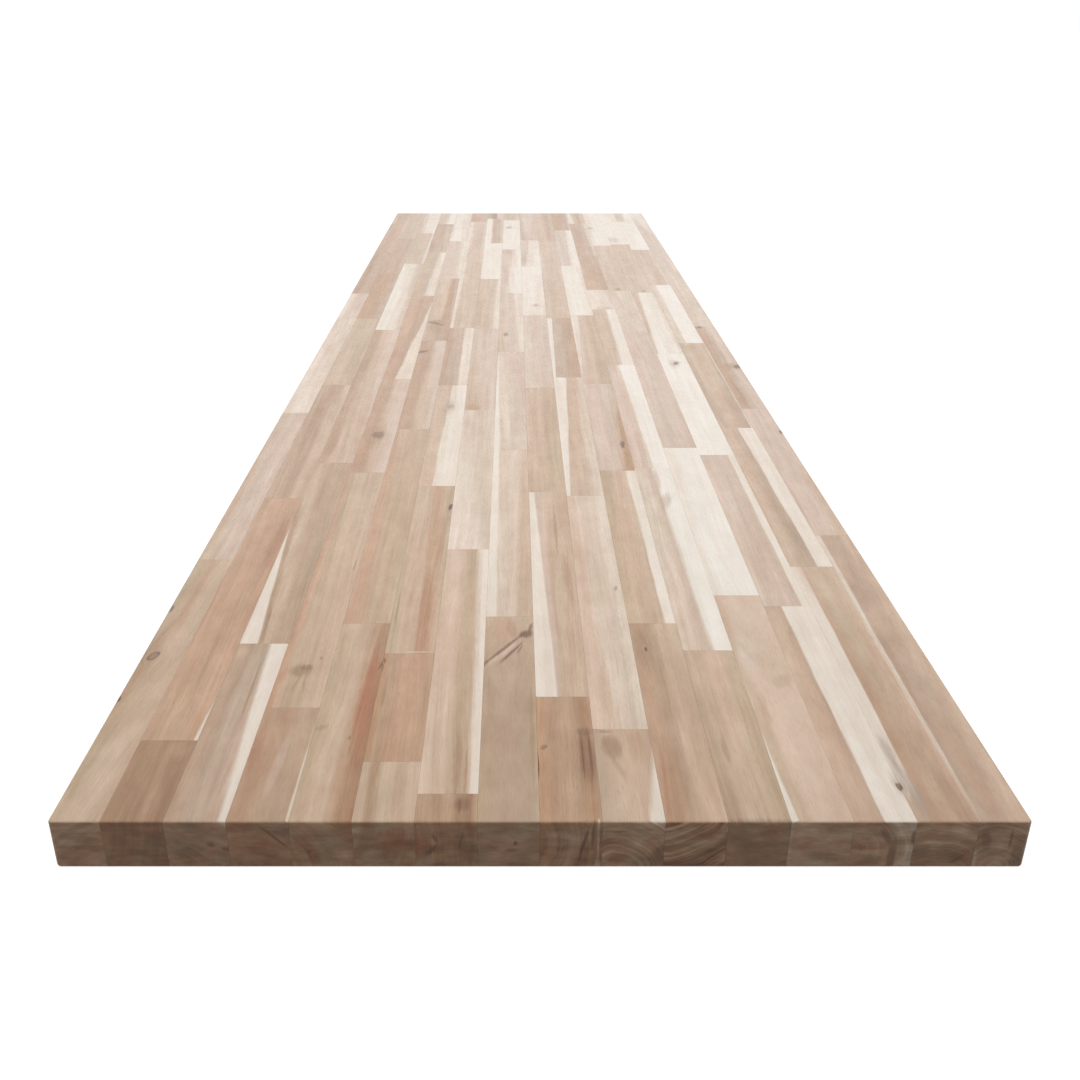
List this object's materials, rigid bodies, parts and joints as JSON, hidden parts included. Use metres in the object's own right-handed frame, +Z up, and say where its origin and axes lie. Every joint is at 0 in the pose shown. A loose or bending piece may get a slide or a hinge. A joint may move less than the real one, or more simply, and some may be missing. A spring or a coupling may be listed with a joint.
{
  "type": "butcher block countertop",
  "caption": "Long flat worktop slab edge-glued from rows of solid hardwood staves, with square eased edges.",
  "frame": {"origin": "middle of the underside, on the floor that the slab lies on", "axes": "+Y along the length and the grain, +X across the width, +Z up out of the working face"},
  "size_m": [0.635, 2.438, 0.038],
  "materials": {
    "acacia": "bare hardwood, sanded smooth, satin"
  },
  "bodies": {
    "root": {"row_01": "acacia", "row_02": "acacia", "row_03": "acacia", "row_04": "acacia", "row_05": "acacia", "row_06": "acacia", "row_07": "acacia", "row_08": "acacia", "row_09": "acacia", "row_10": "acacia", "row_11": "acacia", "row_12": "acacia", "row_13": "acacia", "row_14": "acacia", "row_15": "acacia", "row_16": "acacia"}
  },
  "joints": []
}
